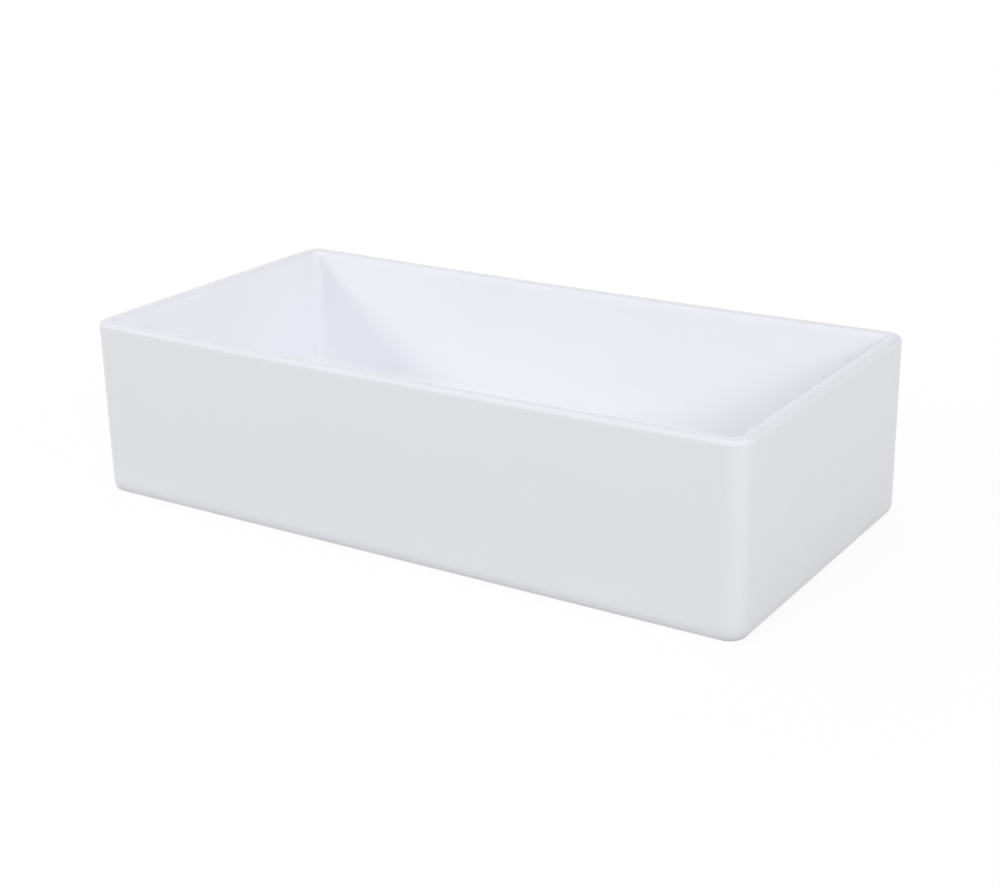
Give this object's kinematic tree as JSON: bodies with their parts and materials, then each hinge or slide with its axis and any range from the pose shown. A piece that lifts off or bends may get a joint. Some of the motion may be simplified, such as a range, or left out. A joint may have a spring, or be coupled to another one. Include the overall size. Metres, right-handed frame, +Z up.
{
  "type": "washbasin",
  "caption": "Rectangular white ceramic washbasin that stands on a counter, with thin straight walls, a plain rim and a push-open waste in its floor.",
  "frame": {"origin": "on the counter, under the middle of the basin and on the axis of the waste", "axes": "+X along the basin's length to the right as seen from the front, +Y to the back, +Z up"},
  "size_m": [0.6, 0.3, 0.195],
  "materials": {
    "glaze": "white glaze, high gloss, bare on the foot ring",
    "chrome": "polished chrome plate",
    "brass": "machined brass",
    "steel": "stainless, drawn",
    "rubber": "moulded black rubber",
    "plastic": "moulded off-white plastic"
  },
  "bodies": {
    "basin": {"basin_body": "glaze", "waste_body": "chrome", "backnut": "brass", "cartridge_sleeve": "brass", "cartridge_spring": "steel", "flange_gasket": "rubber", "tapered_washer": "rubber", "cartridge_seal": "rubber", "friction_washer": "plastic", "cartridge_bush": "plastic"},
    "plug": {"plug_cap": "chrome", "plug_carrier": "plastic", "plug_insert": "brass", "plug_seal": "rubber", "stem_locknut": "steel", "cartridge_plunger": "brass"},
    "index_ring": {"cartridge_rotor": "plastic"}
  },
  "joints": [
    {"name": "plug_slide", "type": "slide", "parent": "basin", "child": "plug", "axis": [0, 0, 1], "range_m": [-0.009, 0], "deforming": ["cartridge_spring"]},
    {"name": "index_turn", "type": "hinge", "parent": "plug", "child": "index_ring", "pos_m": [0, 0, 0.012], "axis": [0, 0, 1], "range_deg": [0, 45]}
  ],
  "couplings": [
    {"joint": "index_turn", "follows": "plug_slide", "rad_per_m": -87}
  ]
}
